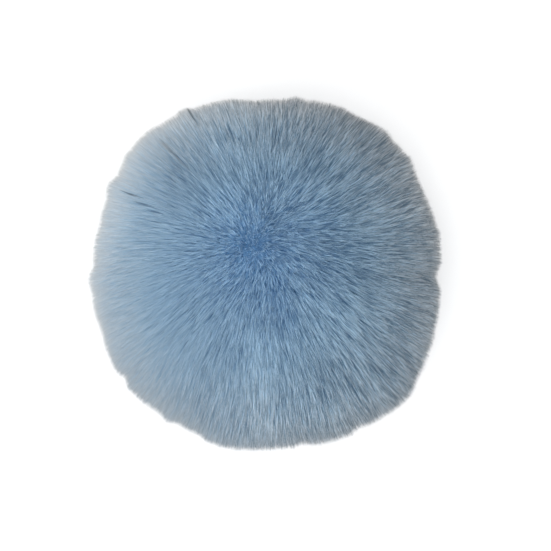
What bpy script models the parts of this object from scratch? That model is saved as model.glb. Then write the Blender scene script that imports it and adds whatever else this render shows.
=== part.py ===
"""A long-haired fur pom pom, lying on its gathered back with its face up.

Metres, +Z up. The origin is on the surface it rests on, under the middle of its box.
Seen from above, +X is to the right of the face and +Y is towards its top.
The one solid is the whole ball out to the tips of the pile, with a small flat spot where it rests.
"""

import math

import bmesh
import bpy

MM = 0.001

# Driving dimensions, in millimetres.
RISE = 58.0  # from the ball's widest level up to the crown of its face
DEPTH = 54.5  # from the widest level down to where the back would end if nothing pressed it flat
REST_LEVEL = 49.5  # height of the widest level over the surface it rests on
FULLNESS = 2.06  # 2 is an ellipsoid; above 2 the shoulders are fuller, as thick pile makes them
CROWN_OFFSET = (-2.0, 5.0)  # how far the crown of the face sits from the middle, in X and Y

# The uneven outline seen from above: its high and low points, once round from +X towards +Y.
OUTLINE = [
    # angle in degrees, reach from the middle in mm
    (0, 64.2),
    (22, 64.8),
    (48, 67.9),
    (66, 66.4),
    (80, 66.0),
    (94, 63.8),
    (112, 66.8),
    (134, 68.6),
    (150, 67.0),
    (170, 64.2),
    (192, 65.4),
    (218, 66.8),
    (240, 64.8),
    (254, 66.3),
    (278, 64.8),
    (300, 67.0),
    (318, 69.2),
    (334, 66.4),
    (350, 64.4),
]

# Locks of pile make soft swells all over the ball. Each row is one wave through it.
SWELLS = [
    # direction the wave runs in, wavelength in mm, height in mm
    ((1.0, 0.2, 0.3), 34.0, 0.8),
    ((-0.3, 1.0, 0.2), 29.0, 0.7),
    ((0.4, -0.5, 1.0), 26.0, 0.8),
    ((0.7, 0.8, -0.5), 21.0, 0.5),
]

SEGMENTS = 72  # round the ball
RINGS = 36  # from crown to back
SHARP_ANGLE = 40.0  # degrees; only the rim of the flat spot is sharper

FUR_BLUE = (0.25, 0.37, 0.48)  # linear RGB of a light steel blue
FUR_ROUGHNESS = 0.9


def clear_scene():
    """Remove whatever the open file holds."""
    for thing in list(bpy.data.objects):
        bpy.data.objects.remove(thing, do_unlink=True)


def outline_reach(angle):
    """Reach of the outline at an angle in degrees, eased from each row to the next."""
    rows = OUTLINE + [(OUTLINE[0][0] + 360, OUTLINE[0][1])]
    angle = angle % 360
    for (start, reach_start), (end, reach_end) in zip(rows, rows[1:]):
        if start <= angle <= end:
            share = (angle - start) / (end - start)
            eased = 0.5 - 0.5 * math.cos(math.pi * share)
            return reach_start + (reach_end - reach_start) * eased
    raise ValueError("the outline's rows leave a gap")


def swell(x, y, z):
    """How far the locks of pile stand proud or fall short at a point, in mm."""
    height = 0.0
    for (dx, dy, dz), wavelength, tall in SWELLS:
        size = math.sqrt(dx * dx + dy * dy + dz * dz)
        along = (x * dx + y * dy + z * dz) / size
        height += tall * math.sin(2 * math.pi * along / wavelength)
    return height


def showing(height):
    """How strongly the swells show at a height from -1, the back, to 1, the crown.

    The table already gives the outline, at 0, and the back is pressed flat.
    """
    return height if height > 0 else -2.6 * height * (1 - height * height)


def ball_point(direction):
    """Where the pile ends in a direction from the middle of the widest level, in mm."""
    angle = math.degrees(math.atan2(direction.y, direction.x))
    across = math.hypot(direction.x, direction.y)
    tall = RISE if direction.z > 0 else DEPTH
    # A superellipse in the upright plane of this direction.
    reach = outline_reach(angle)
    size = ((across / reach) ** FULLNESS + (abs(direction.z) / tall) ** FULLNESS) ** (-1 / FULLNESS)
    point = direction * size
    point += direction * swell(*point) * showing(direction.z)
    # The face leans towards its crown.
    lean = max(direction.z, 0.0) ** 2
    point.x += CROWN_OFFSET[0] * lean
    point.y += CROWN_OFFSET[1] * lean
    return point


def centre_over_origin(bm):
    """Slide the shape so that the middle of its box is over the origin."""
    for axis in (0, 1):
        low = min(vert.co[axis] for vert in bm.verts)
        high = max(vert.co[axis] for vert in bm.verts)
        for vert in bm.verts:
            vert.co[axis] -= (low + high) / 2


def cut_flat_spot(bm):
    """Cut the ball level with the surface it rests on, and close it with one flat face."""
    everything = bm.verts[:] + bm.edges[:] + bm.faces[:]
    bmesh.ops.bisect_plane(
        bm, geom=everything, dist=1e-7, plane_co=(0, 0, 0), plane_no=(0, 0, 1), clear_inner=True
    )
    rim = [edge for edge in bm.edges if edge.is_boundary]
    for vert in {vert for edge in rim for vert in edge.verts}:
        vert.co.z = 0.0
    bmesh.ops.holes_fill(bm, edges=rim, sides=0)
    bmesh.ops.recalc_face_normals(bm, faces=bm.faces)


def make_fur_ball():
    """The gathered ball of pile, as one solid."""
    bm = bmesh.new()
    bmesh.ops.create_uvsphere(bm, u_segments=SEGMENTS, v_segments=RINGS, radius=1.0)
    for vert in bm.verts:
        vert.co = ball_point(vert.co.normalized()) * MM
        vert.co.z += REST_LEVEL * MM
    cut_flat_spot(bm)
    centre_over_origin(bm)
    mesh = bpy.data.meshes.new("fur_ball")
    bm.to_mesh(mesh)
    bm.free()
    mesh.shade_smooth()
    mesh.set_sharp_from_angle(angle=math.radians(SHARP_ANGLE))
    ball = bpy.data.objects.new("fur_ball", mesh)
    bpy.context.scene.collection.objects.link(ball)
    return ball


def fur_material():
    """Matt, light steel blue fur."""
    material = bpy.data.materials.new("fur")
    material.use_nodes = True
    shader = material.node_tree.nodes["Principled BSDF"]
    shader.inputs["Base Color"].default_value = (*FUR_BLUE, 1.0)
    shader.inputs["Roughness"].default_value = FUR_ROUGHNESS
    shader.inputs["Metallic"].default_value = 0.0
    return material


clear_scene()
fur_ball = make_fur_ball()
fur_ball.data.materials.append(fur_material())
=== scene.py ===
# %% [markdown]
# # A long-haired fur pom pom
#
# This is a ball of long, soft, light steel-blue hair, about 130 mm across. A maker gathers a round
# piece of fur with a thread at its back and pulls it shut, so that all the hair turns outwards.
# The lesson shows how to build such fur as real meshes, one small closed spike for each strand, so
# that it survives an export, which Blender's own hair would not.
#
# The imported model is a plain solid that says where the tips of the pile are. It is loaded first, and
# every size here comes from it or from a named value in millimetres.

import math
from dataclasses import dataclass

import bmesh
import bpy
import numpy as np
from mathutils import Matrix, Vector
from mathutils.bvhtree import BVHTree
from mathutils.kdtree import KDTree


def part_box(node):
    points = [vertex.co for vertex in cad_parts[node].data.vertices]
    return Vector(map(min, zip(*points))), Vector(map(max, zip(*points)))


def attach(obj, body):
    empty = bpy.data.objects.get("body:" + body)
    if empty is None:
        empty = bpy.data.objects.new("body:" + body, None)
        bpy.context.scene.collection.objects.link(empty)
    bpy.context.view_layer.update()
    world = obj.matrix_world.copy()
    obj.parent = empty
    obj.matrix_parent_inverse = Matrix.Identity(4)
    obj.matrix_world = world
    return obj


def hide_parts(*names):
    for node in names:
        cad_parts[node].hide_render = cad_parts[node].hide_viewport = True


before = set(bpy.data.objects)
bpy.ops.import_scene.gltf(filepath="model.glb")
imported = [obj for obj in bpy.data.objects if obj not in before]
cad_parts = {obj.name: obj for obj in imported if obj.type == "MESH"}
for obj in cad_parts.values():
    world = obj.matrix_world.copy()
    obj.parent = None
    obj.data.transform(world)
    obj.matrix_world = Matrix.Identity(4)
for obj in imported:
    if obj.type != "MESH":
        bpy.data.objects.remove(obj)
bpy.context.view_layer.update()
scene = bpy.context.scene

MM = 0.001
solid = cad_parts["fur_ball"]
lowest, highest = (Vector(corner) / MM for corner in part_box("fur_ball"))
HEIGHT = highest.z
print(f"the ball is {highest.x - lowest.x:.0f} x {highest.y - lowest.y:.0f} x {HEIGHT:.0f} mm")

# %% [markdown]
# ## Where the pile ends
#
# Hair in a gathered ball fans out from one place inside it. Seen from the front that place is the
# whorl, the spot where every strand points at the eye, and it sits a little above the middle of the
# face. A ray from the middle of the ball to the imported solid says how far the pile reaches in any
# direction, so the fur keeps the solid's uneven outline without a table of its own.

# %% Measure the reach of the pile
MIDDLE = np.array([0.0, 0.0, 0.46 * HEIGHT])  # the middle of the widest level, in mm
WHORL = np.array([-1.9, 10.7, 0.56 * HEIGHT])  # what every strand points away from, in mm

pile_end = BVHTree.FromObject(solid, bpy.context.evaluated_depsgraph_get())


def reach(origin, ways):
    """How far the pile reaches from a place inside the ball, in mm, along each of some directions."""
    start = Vector(origin) * MM
    return np.array([pile_end.ray_cast(start, Vector(way))[3] / MM for way in ways])


print(f"the pile ends {reach(WHORL, [(0, 0, 1)])[0]:.1f} mm in front of the whorl")

# %% [markdown]
# ## A strand of hair
#
# Real fur is 0.02 to 0.08 mm thick, far finer than a pixel of the picture, which is 0.37 mm. The
# strands here are 0.3 to 0.5 mm thick at the root, as coarse as they need to be to show. Each is a
# closed three-sided spike. One spike is made from a cone, cut across where it may bend, and its cuts
# are widened, because hair keeps its thickness for most of its length and only then tapers.
#
# Curves with a bevel would be rounder, but hundreds of thousands of them would be too heavy. A spike
# without a cut has four triangles, and one with a cut has ten.

# %% Make the template spike
FULLNESS = 2.5  # 1 tapers evenly from root to tip; more keeps the thickness for longer
BEND_AT = 0.6  # how far along a strand its bend is, from 0 at the root to 1 at the tip
ON_CUT = 1e-4  # corners this near to a cut lie on it


def spike(cuts):
    """A closed three-sided spike, 1 long and 1 in radius: its corners and its triangles."""
    bm = bmesh.new()
    bmesh.ops.create_cone(bm, cap_ends=True, segments=3, radius1=1.0, radius2=0.0, depth=1.0)
    bmesh.ops.translate(bm, vec=(0, 0, 0.5), verts=bm.verts)
    for along in cuts:
        parts = bm.verts[:] + bm.edges[:] + bm.faces[:]
        bmesh.ops.bisect_plane(bm, geom=parts, dist=1e-6, plane_co=(0, 0, along), plane_no=(0, 0, 1))
    for along in cuts:
        ring = [vert for vert in bm.verts if abs(vert.co.z - along) < ON_CUT]
        fuller = (1 - along**FULLNESS) / (1 - along)
        bmesh.ops.scale(bm, vec=(fuller, fuller, 1), verts=ring)
    bmesh.ops.triangulate(bm, faces=bm.faces)
    bm.verts.index_update()
    corners = np.array([vert.co[:] for vert in bm.verts])
    triangles = np.array([[vert.index for vert in face.verts] for face in bm.faces])
    bm.free()
    return corners, triangles


for cuts in ((), (BEND_AT,)):
    corners, triangles = spike(cuts)
    print(f"a spike cut at {cuts} has {len(corners)} corners and {len(triangles)} triangles")

# %% [markdown]
# ## Spread things over a ball
#
# Tufts of hair grow about evenly, but never in rows. A golden-angle spiral puts points evenly all
# over a ball, and a random nudge of nearly half their spacing hides the spiral. All the random
# numbers come from one seeded generator, so the fur is the same each time.

# %% Directions and random nudges
GOLDEN_ANGLE = math.pi * (3 - math.sqrt(5))
NUDGE = 1.1  # how far a point is nudged each way, where neighbours are about 3.5 apart
random = np.random.default_rng(seed=7)


def unit(vectors):
    """The same directions, each of length 1."""
    return vectors / np.linalg.norm(vectors, axis=-1, keepdims=True)


def spread(count):
    """Directions spread evenly all round, each nudged at random."""
    turn = np.arange(count) + 0.5
    level = 1 - 2 * turn / count
    across = np.sqrt(1 - level**2)
    angle = turn * GOLDEN_ANGLE
    ways = np.stack([across * np.cos(angle), across * np.sin(angle), level], 1)
    return unit(ways + random.normal(0, NUDGE / math.sqrt(count), ways.shape))


def sideways(directions, size):
    """Random vectors square to some directions, of about the given size in mm."""
    loose = random.normal(0, size, directions.shape)
    return loose - directions * np.sum(loose * directions, 1, keepdims=True)


print(f"three directions out of 100: {spread(100)[::40].round(2).tolist()}")

# %% [markdown]
# ## Locks, wisps and the lie of the pile
#
# Fur is not even. Hair clings together in wisps 2 or 3 mm across and leans together in locks of
# about a centimetre, and on top of that the whole coat lies in slow waves. A lean of half a
# millimetre is enough: a larger one opens dark partings between the locks.
#
# The pile also lies smoother on one side, where a hand has stroked it, and is ruffled on the other.
# Where it is smooth its hairs lie side by side, so they lean less there. Their tones vary less there
# too,
# and more on the ruffled side: painted light, for the even light on the smooth side, which faces the
# lamps, and for the shade between the strands on the far side.

# %% Lay out the locks and wisps
class Clumps:
    """Places spread over the ball, each with a lean and a tone for all the hair nearest to it."""

    def __init__(self, count, lean, tone):
        self.ways = spread(count)
        self.leans = sideways(self.ways, lean)
        self.tones = random.normal(0, tone, count)
        self.tree = KDTree(count)
        for number, way in enumerate(self.ways):
            self.tree.insert(way, number)
        self.tree.balance()

    def at(self, ways):
        """The lean, in mm, and the tone of the clump nearest to each direction."""
        nearest = np.array([self.tree.find(way)[1] for way in ways])
        return self.leans[nearest], self.tones[nearest]


locks = Clumps(620, lean=0.6, tone=0.03)
wisps = Clumps(7000, lean=0.5, tone=0.05)
print(f"{len(locks.ways)} locks and {len(wisps.ways)} wisps")

# %% The slow waves of the coat
WAVES = [
    # direction the wave runs in, wavelength in mm, lean in mm
    ((1.0, 0.3, -0.4), 61.0, (0.0, 1.0, 0.5)),
    ((-0.4, 1.0, 0.5), 47.0, (1.0, 0.0, -0.5)),
    ((0.3, -0.6, 1.0), 38.0, (0.6, -0.7, 0.0)),
]


def wave_lean(points):
    """The slow waves in which the whole coat lies, as a lean in mm at each point."""
    lean = np.zeros_like(points)
    for way, wavelength, push in WAVES:
        along = points @ unit(np.array(way))
        lean += np.sin(2 * math.pi * along / wavelength)[:, None] * np.array(push)
    return lean


print(f"the waves lean the crown by {wave_lean(np.array([[0.0, 0.0, HEIGHT]])).round(1).tolist()[0]} mm")

# %% Where the pile lies smooth
SMOOTH_SIDE = math.radians(186)  # from +X towards +Y
SMOOTH_SPAN = 80.0  # mm from fully ruffled to fully smooth
RUFFLED_DYE_AND_SHADE_TONES = 1.4  # how strongly tones vary on the ruffled side: random dye, and painted shade between its strands
SMOOTH_EVEN_LIGHT_TONES = 1.3  # how much less they vary where it is fully smooth: painted even light on the side facing the lamps
SMOOTH_LEANS = 0.7  # how much less the hairs lean there


def smoothness(points):
    """From 0, where the pile is ruffled, to 1, where it lies smooth."""
    towards = points[:, :2] @ np.array([math.cos(SMOOTH_SIDE), math.sin(SMOOTH_SIDE)])
    return np.clip(0.5 + towards / SMOOTH_SPAN, 0, 1)


print(f"the crown's smoothness is {smoothness(np.zeros((1, 3)))[0]:.2f}")

# %% [markdown]
# ## Features of this one pom pom
#
# No two gathered balls are alike. A few partings and locks of this one are plain to see, and so are the
# small steps in its outline where one lock ends and the next begins. They are short tables of places,
# measured in degrees and millimetres, and each one fades out softly at its edges. The dark partings,
# the grey groove and the darker hair on the side away from the key lamp are painted shade.

# %% Partings and locks on the face
FEATURES = [
    # degrees round the whorl, from, to and half width in mm, how much paler, how much greyer
    # Painted shade: the next three rows darken the thin parting, where shade falls between the locks.
    (159.5, 48.0, 54.0, 0.35, -0.8, 0.08),  # a thin dark parting, in three pieces
    (162.0, 42.5, 47.5, 0.35, -0.8, 0.08),
    (164.0, 38.0, 42.0, 0.35, -0.8, 0.08),
    (118.5, 50.0, 58.0, 0.4, -0.55, 0.06),  # a short dark streak near the edge
    # Painted shade: the next two rows darken the groove and the hair beside it, where shade falls.
    (134.5, 38.0, 53.0, 0.6, -0.2, 0.10),  # a soft grey groove
    (138.0, 22.0, 50.0, 14.0, -0.12, 0.02),  # the shaded hair beside it
    (135.0, 8.0, 26.0, 8.0, 0.12, -0.04),  # blue hair above and left of the whorl
    (289.0, 14.0, 34.0, 4.5, -0.12, -0.12),  # a deep blue lock below it
    (20.0, 8.0, 30.0, 6.0, -0.06, -0.10),  # and one to its right
    (269.0, 31.0, 66.0, 6.0, 0.14, 0.02),  # a paler wedge down to the edge
    (297.0, 46.0, 60.0, 5.0, -0.16, 0.0),  # a darker lock beside it
    (318.0, 38.0, 62.0, 10.0, 0.10, 0.0),  # paler hair to the right of that
    # Painted shade: the next two rows darken the hair on the side away from the key lamp.
    (48.0, 36.0, 62.0, 12.0, -0.08, -0.01),  # darker hair at the upper right
    (352.0, 16.0, 45.0, 13.0, -0.15, -0.01),  # and right of the whorl
]
FACE_LEVEL = MIDDLE[2] - 10.0  # mm; the features are only on the face
FEATURE_REACH = 1.5  # half widths from the middle of a feature to where it has faded out
END_RAMP = 1.0  # mm over which the ends of a narrow one fade out; a wide one takes its half width


def soft_step(past, width):
    """0 well before an edge and 1 well past it, with a ramp of the given width between."""
    return np.clip(past / width + 0.5, 0, 1)


def bump(off, half):
    """1 in the middle, easing to 0 at the half width."""
    return 0.5 + 0.5 * np.cos(np.pi * np.clip(off / half, 0, 1))


def features_at(points):
    """How much paler and how much greyer the hair is that ends at each point."""
    away = points[:, :2] - WHORL[:2]
    paler = np.zeros(len(points))
    greyer = np.zeros(len(points))
    for degrees, start, end, half, more_pale, more_grey in FEATURES:
        turn = math.radians(degrees)
        along = away @ np.array([math.cos(turn), math.sin(turn)])
        across = np.abs(away @ np.array([-math.sin(turn), math.cos(turn)]))
        ramp = max(half, END_RAMP)
        there = bump(across, FEATURE_REACH * half)
        there = there * soft_step(along - start, ramp) * soft_step(end - along, ramp)
        there = there * (points[:, 2] > FACE_LEVEL)
        paler += more_pale * there
        greyer += more_grey * there
    return paler, greyer


print(f"{len(FEATURES)} partings and locks on the face")

# %% Steps in the outline
OUTLINE_STEPS = [
    # degrees round the middle, half width in degrees, mm that the hair stands proud there
    (13, 4, 0.6), (38, 5, 0.9), (46, 3, -0.5), (52, 5, 0.5), (66, 6, 0.6), (77, 4, -0.6),
    (85, 5, -0.9), (101, 9, 0.8), (117, 4, 1.3), (125, 4, -0.5), (140, 3, 0.5), (146, 5, -0.5),
    (151, 4, 0.9), (156, 4, -0.5), (170, 8, 0.8), (182, 5, 1.3), (199, 7, -0.6), (216, 3, -1.3),
    (236, 4, 1.3), (247, 4, -0.6), (282, 4, -0.9), (301, 4, -0.8), (325, 5, -0.6), (347, 6, 0.4),
    (359, 5.5, -1.9),
]


def step_at(points):
    """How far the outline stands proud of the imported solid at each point, in mm."""
    turn = np.degrees(np.arctan2(points[:, 1], points[:, 0]))
    proud = np.zeros(len(points))
    for degrees, half, height in OUTLINE_STEPS:
        off = np.abs((turn - degrees + 180) % 360 - 180)
        proud += height * bump(off, half)
    return proud


print(f"{len(OUTLINE_STEPS)} steps in the outline, up to {max(abs(row[2]) for row in OUTLINE_STEPS)} mm")

# %% [markdown]
# ## Two coats
#
# An animal's fur is two coats: dense, soft underfur, and longer, glossier guard hairs that stand
# over it. Each is grown in tufts, and each tuft is a few strands whose tips draw together. At the
# sides the pile is seen edge on, so its tips are kept nearer to one length there, which gives the
# dense, short-napped edge that a trimmed ball has.
#
# Each strand has two numbers for its colour. Its tone runs from deep to pale. It is random, because
# dye takes unevenly, and it also carries the painted shade of the partings and of the side away from
# the key lamp, and a painted highlight on the rim. Its fade runs from blue to grey, and grows from the
# middle of the face to the rim. That is partly real, as the tips are bleached and the undyed hair shows
# at the rim, and partly painted light: the deep blue of the face stands in for light scattered far down
# into the pile where the eye looks along the hairs, and the grey rim for sheen on hairs seen edge on.

# %% Describe the coats
@dataclass
class Coat:
    name: str
    pieces: int  # meshes that it is shared out to, each under 200,000 triangles
    cuts: tuple  # where along its length a strand can bend, from 0 to 1
    tufts: int  # all round the ball
    strands: int  # in each tuft
    length: float  # of a strand, in mm
    width: float  # of a strand at its root, in mm
    ends: tuple  # where the tufts end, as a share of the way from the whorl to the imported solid
    tuft_size: float  # mm from the middle of a tuft to its strands
    gather: float  # how far the tips of a tuft draw together, from 0 to 1
    lean: float  # mm that a strand leans at random
    droop: float  # mm that the pile at the sides sinks under its own weight
    tone: float  # how pale it is, from 0 to 1


COATS = [
    Coat(
        name="underfur",
        pieces=3,
        cuts=(),
        tufts=50000,
        strands=3,
        length=18.0,
        width=0.53,
        ends=(0.975, 1.015),
        tuft_size=0.24,
        gather=0.5,
        lean=0.6,
        droop=0.3,
        tone=0.385,
    ),
    Coat(
        name="guard_hair",
        pieces=3,
        cuts=(BEND_AT,),
        tufts=14000,
        strands=3,
        length=19.0,
        width=0.34,
        ends=(0.985, 1.02),
        tuft_size=0.35,
        gather=0.5,
        lean=1.4,
        droop=0.5,
        tone=0.55,
    ),
]
for coat in COATS:
    print(f"{coat.name}: {coat.tufts * coat.strands} strands, {coat.length:.0f} mm long")

# %% Place the tufts of a coat
TUFT_TONE = 0.20  # how much tufts differ in tone
SIDE_TONES = 0.5  # how much more they differ at the sides than at the crown
PRESSED_LEVEL = -0.72  # directions below this meet the surface that the ball rests on
PRESSED_SHARE = 0.35  # of the tufts are kept there, where they aren't seen
TUFT_LEAN = 0.6  # how far a whole tuft leans at random, against how far its strands do


def plant_tufts(coat):
    """Where each tuft ends, the way it leans, how long it is and how pale, and how tones vary there."""
    ways = spread(coat.tufts)
    ways = ways[(ways[:, 2] > PRESSED_LEVEL) | (random.random(coat.tufts) < PRESSED_SHARE)]
    ends = MIDDLE + ways * reach(MIDDLE, ways)[:, None]
    out = unit(ends - WHORL)
    side_on = 1 - out[:, 2] ** 2
    smooth = smoothness(ends)
    lock_leans, lock_tones = locks.at(ways)
    wisp_leans, wisp_tones = wisps.at(ways)
    lean = lock_leans + wisp_leans + sideways(out, TUFT_LEAN * coat.lean)
    lean = lean * (1 - SMOOTH_LEANS * smooth)[:, None] + wave_lean(ends)
    lean[:, 2] -= coat.droop * side_on
    share = random.uniform(*coat.ends, len(ways))
    # Tones spread by side: random dye, plus painted shade between strands on the ruffled side and a
    # painted even light on the smooth side.
    vary = RUFFLED_DYE_AND_SHADE_TONES - SMOOTH_EVEN_LIGHT_TONES * smooth
    own_tone = lock_tones + wisp_tones + random.normal(0, TUFT_TONE, len(ways))
    tone = coat.tone + own_tone * (1 + SIDE_TONES * side_on) * vary
    return ends, lean, share, tone, vary


# %% Grow the strands of a coat
STRAND_TONE = 0.46  # how much strands differ in tone
STRAND_ENDS = (0.985, 1.015)  # and in where they end
STRAND_LENGTHS = (0.85, 1.1)
STRAND_WIDTHS = (0.75, 1.25)
EVEN_SIDES = 0.7  # how much more alike in length the strands are at the sides
CROWN_SWIRL = 0.8  # how much more the strands lean at the crown, where they point at the eye
CROWN_SIZE = 10  # the higher, the smaller the swirling crown
STEP_EDGE = 2  # the higher, the nearer to the rim the steps in the outline stay
TIP_HOLD = 0.8  # how much of a bend the root takes up, so that the tip stays near its place
TONES = (0.02, 0.98)  # the deepest and the palest, just inside the map of colours


def grow(coat):
    """Roots, directions, bends, widths, tones and fades of all the strands of a coat, in mm."""
    tuft_ends, tuft_leans, tuft_shares, tuft_tones, tuft_vary = plant_tufts(coat)
    tuft = np.repeat(np.arange(len(tuft_ends)), coat.strands)
    smooth = smoothness(tuft_ends)[tuft]

    offset = sideways(unit(tuft_ends - WHORL)[tuft], coat.tuft_size)
    end = tuft_ends[tuft] + offset
    way = unit(end - WHORL)
    side_on = 1 - way[:, 2] ** 2
    share = tuft_shares[tuft] * random.uniform(*STRAND_ENDS, len(tuft))
    share = 1 + (share - 1) * (1 - EVEN_SIDES * side_on)
    end = WHORL + (end - WHORL) * share[:, None]
    end[:, :2] += unit(end[:, :2]) * (step_at(end) * side_on**STEP_EDGE)[:, None]

    along = way * (coat.length * random.uniform(*STRAND_LENGTHS, len(tuft)))[:, None]
    swirl = (1 + CROWN_SWIRL * np.maximum(way[:, 2], 0) ** CROWN_SIZE) * (1 - SMOOTH_LEANS * smooth)
    bend = tuft_leans[tuft] - offset * coat.gather + sideways(way, coat.lean) * swirl[:, None]
    root = end - along - TIP_HOLD * bend
    wide = coat.width * random.uniform(*STRAND_WIDTHS, len(tuft))

    paler, greyer = features_at(end)
    own_tone = random.normal(0, STRAND_TONE, len(tuft)) * tuft_vary[tuft]
    # The tone also takes a painted highlight on the rim that faces the low left lamp.
    tone = tuft_tones[tuft] + own_tone + paler + painted_rim_highlight(end, side_on)
    # The fade is partly bleached tips and partly painted light: deep blue at the face, grey sheen at the
    # rim.
    return root, along, bend, wide, np.clip(tone, *TONES), fade_and_painted_light_at(end) + greyer


# %% How colour changes over the ball
FACE_FADE = 0.34  # at the bluest spot of the face, where the blue is partly painted light from deep in the pile
RIM_FADE = 0.94  # all round the rim, where the grey is partly painted sheen
RIM_GREY = 0.04  # how much greyer the rim is on its greyest side
GREY_SIDE = math.radians(100)  # from +X towards +Y
FADE_EASE = 0.68  # below 1 the blue gives way quickly and then more slowly
BLUEST = np.array([-4.0, 5.5, 110.0])  # in mm, over the bluest spot of the face
RIM_HIGHLIGHT = 0.2  # how much paler the rim is painted where the low left lamp lights it: a painted highlight
HIGHLIGHT_SIDE = math.radians(155)  # from +X towards +Y
HIGHLIGHT_EDGE = 4  # the higher, the narrower the painted highlight at the edge


def fade_and_painted_light_at(points):
    """How far the colour runs from blue to grey at each point: partly bleached tips, partly painted
    light.
    """
    away = np.sqrt(np.clip(1 - (unit(points - MIDDLE) @ unit(BLUEST - MIDDLE)) ** 2, 0, 1))
    turn = np.arctan2(points[:, 1], points[:, 0]) - GREY_SIDE
    return FACE_FADE + (RIM_FADE + RIM_GREY * np.cos(turn) - FACE_FADE) * away**FADE_EASE


def painted_rim_highlight(points, side_on):
    """How much paler the hair is painted on the rim that faces the low left lamp: a painted highlight.
    """
    turn = np.arctan2(points[:, 1], points[:, 0]) - HIGHLIGHT_SIDE
    return RIM_HIGHLIGHT * np.maximum(np.cos(turn), 0) * side_on**HIGHLIGHT_EDGE


print(f"the fade is {fade_and_painted_light_at(np.array([[0.0, 0.0, HEIGHT]]))[0]:.2f} at the crown")

# %% [markdown]
# ## From strands to meshes
#
# Hundreds of thousands of strands as objects of their own would stop Blender, so each coat is a few
# meshes of many spikes. The template spike is placed for every strand at once with array sums, and
# the result goes straight into a mesh.
#
# The colour follows the hair through a map of its own: U is the strand's tone, and V runs from the
# root, 0, towards the tip, as far as its fade allows. The corners of a spike are set a little apart
# on the map, because an export bakes colour through it, and a face of no width would bake black.

# %% Turn strands into one mesh
BEND_POWER = 1.8  # a strand leaves its root straight and bends more towards its tip
FLOOR_GAP = 0.1  # mm that the lowest strands keep off the surface
TIP_LIFT = 0.2  # mm that their tips lie higher than their roots
MAP_ROOT = 0.01  # where on the map a strand starts
MAP_LENGTH = 0.98  # and how far along it a strand of full fade runs
MAP_WIDTH = 0.004  # how much of the map a strand covers from side to side


def strand_mesh(name, strands, cuts):
    """One mesh of many closed spikes, with the map that their colour follows."""
    root, along, bend, wide, tone, fade = strands
    corners, triangles = spike(cuts)
    height = corners[:, 2]
    side = unit(np.cross(along, random.normal(0, 1, along.shape)))
    other = unit(np.cross(along, side))
    points = root[:, None] + along[:, None] * height[None, :, None]
    points = points + bend[:, None] * (height**BEND_POWER)[None, :, None]
    across = side[:, None] * corners[None, :, 0, None] + other[:, None] * corners[None, :, 1, None]
    points = points + across * (wide[:, None, None] / 2)
    points[..., 2] = np.maximum(points[..., 2], FLOOR_GAP + TIP_LIFT * height[None, :])
    faces = triangles[None] + (np.arange(len(root)) * len(corners))[:, None, None]
    u = tone[:, None] + MAP_WIDTH * corners[None, :, 0]
    v = MAP_ROOT + MAP_LENGTH * height * fade[:, None] + MAP_WIDTH * corners[:, 1]
    places = np.stack([u, v], -1).reshape(-1, 2)
    return joined_mesh(name, points.reshape(-1, 3) * MM, faces.reshape(-1, 3), places)


def joined_mesh(name, points, triangles, places):
    """A mesh object from arrays of points, triangles and each point's place on the map."""
    mesh = bpy.data.meshes.new(name)
    mesh.vertices.add(len(points))
    mesh.vertices.foreach_set("co", points.ravel())
    mesh.loops.add(triangles.size)
    mesh.loops.foreach_set("vertex_index", triangles.ravel())
    mesh.polygons.add(len(triangles))
    mesh.polygons.foreach_set("loop_start", np.arange(0, triangles.size, 3))
    mesh.uv_layers.new(name="OFBake").data.foreach_set("uv", places[triangles.ravel()].ravel())
    mesh.update(calc_edges=True)
    mesh.shade_smooth()
    piece = bpy.data.objects.new(name, mesh)
    scene.collection.objects.link(piece)
    return piece


# %% Grow both coats
coat_pieces = {}
total = 0
for coat in COATS:
    grown = grow(coat)
    per_piece = math.ceil(len(grown[0]) / coat.pieces)
    coat_pieces[coat.name] = []
    for number in range(coat.pieces):
        rows = slice(number * per_piece, (number + 1) * per_piece)
        piece = strand_mesh(f"{coat.name}_{number + 1}", [part[rows] for part in grown], coat.cuts)
        coat_pieces[coat.name].append(piece)
        total += len(piece.data.polygons)
        print(f"{piece.name}: {len(piece.data.polygons)} triangles")
print(f"{total} triangles of fur in all")

# %% [markdown]
# ## The wool at the roots
#
# Between the strands the eye looks down on matted wool close to the skin. A smaller copy of the
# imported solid, drawn towards the whorl, fills the ball there. It also closes the fur, so that no
# light comes through from behind. Its mesh comes as loose triangles and is merged first.

# %% Make the root wool
WOOL_SHARE = 0.82  # how far the wool reaches from the whorl towards the tips
SAME_PLACE = 0.01  # mm; corners nearer than this are one


def make_root_wool():
    """The matted wool under the strands, as one closed shape."""
    bm = bmesh.new()
    bm.from_mesh(solid.data)
    bmesh.ops.remove_doubles(bm, verts=bm.verts, dist=SAME_PLACE * MM)
    centre = Vector(WHORL * MM)
    bmesh.ops.translate(bm, vec=-centre, verts=bm.verts)
    bmesh.ops.scale(bm, vec=(WOOL_SHARE,) * 3, verts=bm.verts)
    bmesh.ops.translate(bm, vec=centre, verts=bm.verts)
    mesh = bpy.data.meshes.new("root_wool")
    bm.to_mesh(mesh)
    bm.free()
    mesh.shade_smooth()
    piece = bpy.data.objects.new("root_wool", mesh)
    scene.collection.objects.link(piece)
    return piece


root_wool = make_root_wool()
print(f"the root wool has {len(root_wool.data.polygons)} faces")

# %% [markdown]
# ## Materials
#
# Dyed fur is deepest near the skin, where little light gets in, and paler and greyer at the tips.
# Colours are written as sRGB hex values, as a colour picker shows them, and one helper turns them
# to the linear values that Blender works in. Another adds a node with its settings and links.

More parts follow.
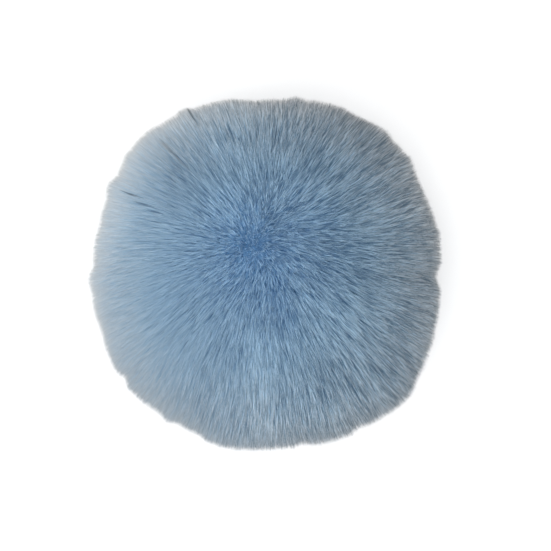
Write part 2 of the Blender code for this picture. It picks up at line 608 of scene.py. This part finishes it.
# %% Colour and node helpers
def linear(hex_colour):
    """An sRGB hex colour as the linear RGBA that Blender's sockets take."""
    channels = [int(hex_colour[i : i + 2], 16) / 255 for i in (1, 3, 5)]
    return tuple(c / 12.92 if c <= 0.04045 else ((c + 0.055) / 1.055) ** 2.4 for c in channels) + (1.0,)


def add_node(tree, kind, inputs=(), stops=(), **settings):
    """Add a node. inputs maps a socket to a value or to another node's output; stops are a ramp's."""
    node = tree.nodes.new(kind)
    for name, value in settings.items():
        setattr(node, name, value)
    for socket, value in dict(inputs).items():
        if isinstance(value, bpy.types.NodeSocket):
            tree.links.new(value, node.inputs[socket])
        else:
            node.inputs[socket].default_value = value
    for number, (position, colour) in enumerate(stops):
        ramp = node.color_ramp.elements
        stop = ramp[number] if number < len(ramp) else ramp.new(position)
        stop.position = position
        stop.color = linear(colour)
    return node


print(f"a mid grey, #808080, is {linear('#808080')[0]:.2f} in linear light")

# %% [markdown]
# ### Dyed fur
#
# Animal hair is keratin, scaly and a little glossy along its length. The underfur is fine and soft,
# so it looks almost matt. The guard hairs are thicker and smoother, so they catch the light in thin
# bright lines. Both take the same dye: a soft steel blue that turns greyer and then creamy where the
# tips are bleached. The relief is real, one spike for each strand, so no bump is needed.

# %% Make the fur materials
DEEP = [(0.0, "#5288C4"), (0.68, "#4D718F"), (0.94, "#56626B"), (1.0, "#5E5C5D")]
PALE = [(0.0, "#ADDEFF"), (0.68, "#C4E3F8"), (0.94, "#F7F5F2"), (1.0, "#FFF6EB")]


def dyed_hair(name, roughness, specular):
    """Hair whose colour runs from deep to pale by U and from blue to grey by V of its map."""
    material = bpy.data.materials.new(name)
    material.use_nodes = True
    tree = material.node_tree
    shader = tree.nodes["Principled BSDF"]
    shader.inputs["Roughness"].default_value = roughness
    shader.inputs["Specular IOR Level"].default_value = specular
    place = add_node(tree, "ShaderNodeUVMap", uv_map="OFBake")
    split = add_node(tree, "ShaderNodeSeparateXYZ", {0: place.outputs["UV"]})
    deep = add_node(tree, "ShaderNodeValToRGB", {"Fac": split.outputs["Y"]}, stops=DEEP)
    pale = add_node(tree, "ShaderNodeValToRGB", {"Fac": split.outputs["Y"]}, stops=PALE)
    # A Mix node has a pair of sockets for each kind of value; 6 and 7 are its two colours.
    mix = add_node(
        tree,
        "ShaderNodeMix",
        {0: split.outputs["X"], 6: deep.outputs["Color"], 7: pale.outputs["Color"]},
        data_type="RGBA",
    )
    tree.links.new(mix.outputs[2], shader.inputs["Base Color"])
    return material


hair = {
    "underfur": dyed_hair("dyed underfur", roughness=0.55, specular=0.35),
    "guard_hair": dyed_hair("dyed guard hair", roughness=0.42, specular=0.5),
}
for name, pieces in coat_pieces.items():
    for piece in pieces:
        piece.data.materials.append(hair[name])
print(f"materials: {[material.name for material in hair.values()]}")

# %% [markdown]
# ### Matted wool
#
# The wool is the same dyed hair, felted by the gathering. It has no strands of its own, so its
# material has to give the eye their unevenness: mottled blue, dead matt, with a tangled relief.
# Real wool fibres are 0.02 mm thick; the tangle is drawn about 1.5 mm across, which is as coarse as
# it needs to be to show between the strands.

# %% Make the wool material
WOOL_TANGLE = 1.5  # mm
WOOL_MOTTLE = 9.0  # mm
WOOL_RELIEF = 0.4  # mm
WOOL_BLUES = [(0.12, "#5A8AB4"), (0.40, "#85B3D6")]


def matted_wool(name):
    """Mottled, matt blue wool with a tangled relief."""
    material = bpy.data.materials.new(name)
    material.use_nodes = True
    tree = material.node_tree
    shader = tree.nodes["Principled BSDF"]
    shader.inputs["Specular IOR Level"].default_value = 0.2
    place = add_node(tree, "ShaderNodeTexCoord").outputs["Object"]
    mottle = add_node(tree, "ShaderNodeTexNoise", {"Vector": place, "Scale": 1 / (WOOL_MOTTLE * MM)})
    tangle = add_node(
        tree,
        "ShaderNodeTexNoise",
        {"Vector": place, "Scale": 1 / (WOOL_TANGLE * MM), "Detail": 3.0, "Distortion": 1.2},
    )
    both = add_node(
        tree,
        "ShaderNodeMath",
        {0: mottle.outputs["Fac"], 1: tangle.outputs["Fac"]},
        operation="MULTIPLY",
    )
    colour = add_node(tree, "ShaderNodeValToRGB", {"Fac": both.outputs[0]}, stops=WOOL_BLUES)
    rough = add_node(
        tree, "ShaderNodeMapRange", {"Value": tangle.outputs["Fac"], "To Min": 0.82, "To Max": 0.96}
    )
    relief = add_node(
        tree,
        "ShaderNodeBump",
        {"Height": tangle.outputs["Fac"], "Strength": 0.6, "Distance": WOOL_RELIEF * MM},
    )
    tree.links.new(colour.outputs["Color"], shader.inputs["Base Color"])
    tree.links.new(rough.outputs["Result"], shader.inputs["Roughness"])
    tree.links.new(relief.outputs["Normal"], shader.inputs["Normal"])
    return material


root_wool.data.materials.append(matted_wool("matted wool"))
print(f"the root wool is {root_wool.data.materials[0].name}")

# %% [markdown]
# ## Floor, light and camera
#
# The ball lies on a plain white card. Soft light comes from all round, as in a light tent, with a
# large lamp at the lower left, a low one at the left that brightens the rim there, and a small one
# overhead that reaches down between the strands of the crown.

# %% Lay the card
FLOOR_HALF = 4.0  # m


def make_floor():
    """A matt white card to stand the ball on."""
    bm = bmesh.new()
    bmesh.ops.create_grid(bm, x_segments=1, y_segments=1, size=FLOOR_HALF)
    mesh = bpy.data.meshes.new("floor")
    bm.to_mesh(mesh)
    bm.free()
    card = bpy.data.materials.new("matt white card")
    card.use_nodes = True
    shader = card.node_tree.nodes["Principled BSDF"]
    shader.inputs["Base Color"].default_value = linear("#F4F4F4")
    shader.inputs["Roughness"].default_value = 0.9
    mesh.materials.append(card)
    floor = bpy.data.objects.new("floor", mesh)
    scene.collection.objects.link(floor)
    return floor


make_floor()
print(f"the card is {2 * FLOOR_HALF:.0f} m square")

# %% Set the lamps
LAMPS = [
    # name, place in m, width in m, watts
    ("key", (-0.62, -0.9, 0.8), 1.8, 8.1),
    ("low left", (-1.2, 0.65, 0.07), 1.0, 10.8),
    ("overhead", (0.0, 0.0, 1.2), 0.5, 4.0),
]
AIM = Vector((0, 0, 0.05))  # m, about the middle of the ball

for name, place, width, watts in LAMPS:
    light = bpy.data.lights.new(name, "AREA")
    light.shape = "DISK"
    light.size = width
    light.energy = watts
    lamp = bpy.data.objects.new(name, light)
    lamp.location = place
    lamp.rotation_euler = (AIM - Vector(place)).to_track_quat("-Z", "Y").to_euler()
    scene.collection.objects.link(lamp)

world = bpy.data.worlds.new("light tent")
world.use_nodes = True
world.node_tree.nodes["Background"].inputs["Color"].default_value = (1, 1, 1, 1)
world.node_tree.nodes["Background"].inputs["Strength"].default_value = 1.0
scene.world = world
scene.view_settings.view_transform = "Standard"
print(f"{len(LAMPS)} lamps")

# %% [markdown]
# The camera looks straight down on the face. One pixel of the picture is 0.368 mm at the ball's
# widest level, which sets how far away a camera with this lens has to be, and the pixel on which the
# ball's middle falls sets how far it is moved aside.

# %% Set the camera
PICTURE = 551  # pixels, both ways
PIXEL = 0.368  # mm of the ball's widest level in one pixel
BALL_AT = (267.2, 274.0)  # the pixel that the ball's middle falls on, from the top left
LENS = 100.0  # mm
SENSOR = 36.0  # mm

camera_data = bpy.data.cameras.new("camera")
camera_data.lens = LENS
camera_data.sensor_width = SENSOR
camera = bpy.data.objects.new("camera", camera_data)
distance = PIXEL * PICTURE * LENS / SENSOR
camera.location = (
    (PICTURE / 2 - BALL_AT[0]) * PIXEL * MM,
    (BALL_AT[1] - PICTURE / 2) * PIXEL * MM,
    (MIDDLE[2] + distance) * MM,
)
scene.collection.objects.link(camera)
scene.camera = camera
print(f"the camera is {camera.location.z:.2f} m up")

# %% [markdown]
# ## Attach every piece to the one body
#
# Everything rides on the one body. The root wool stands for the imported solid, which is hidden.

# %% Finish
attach(root_wool, "root")
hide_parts("fur_ball")
for pieces in coat_pieces.values():
    for piece in pieces:
        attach(piece, "root")
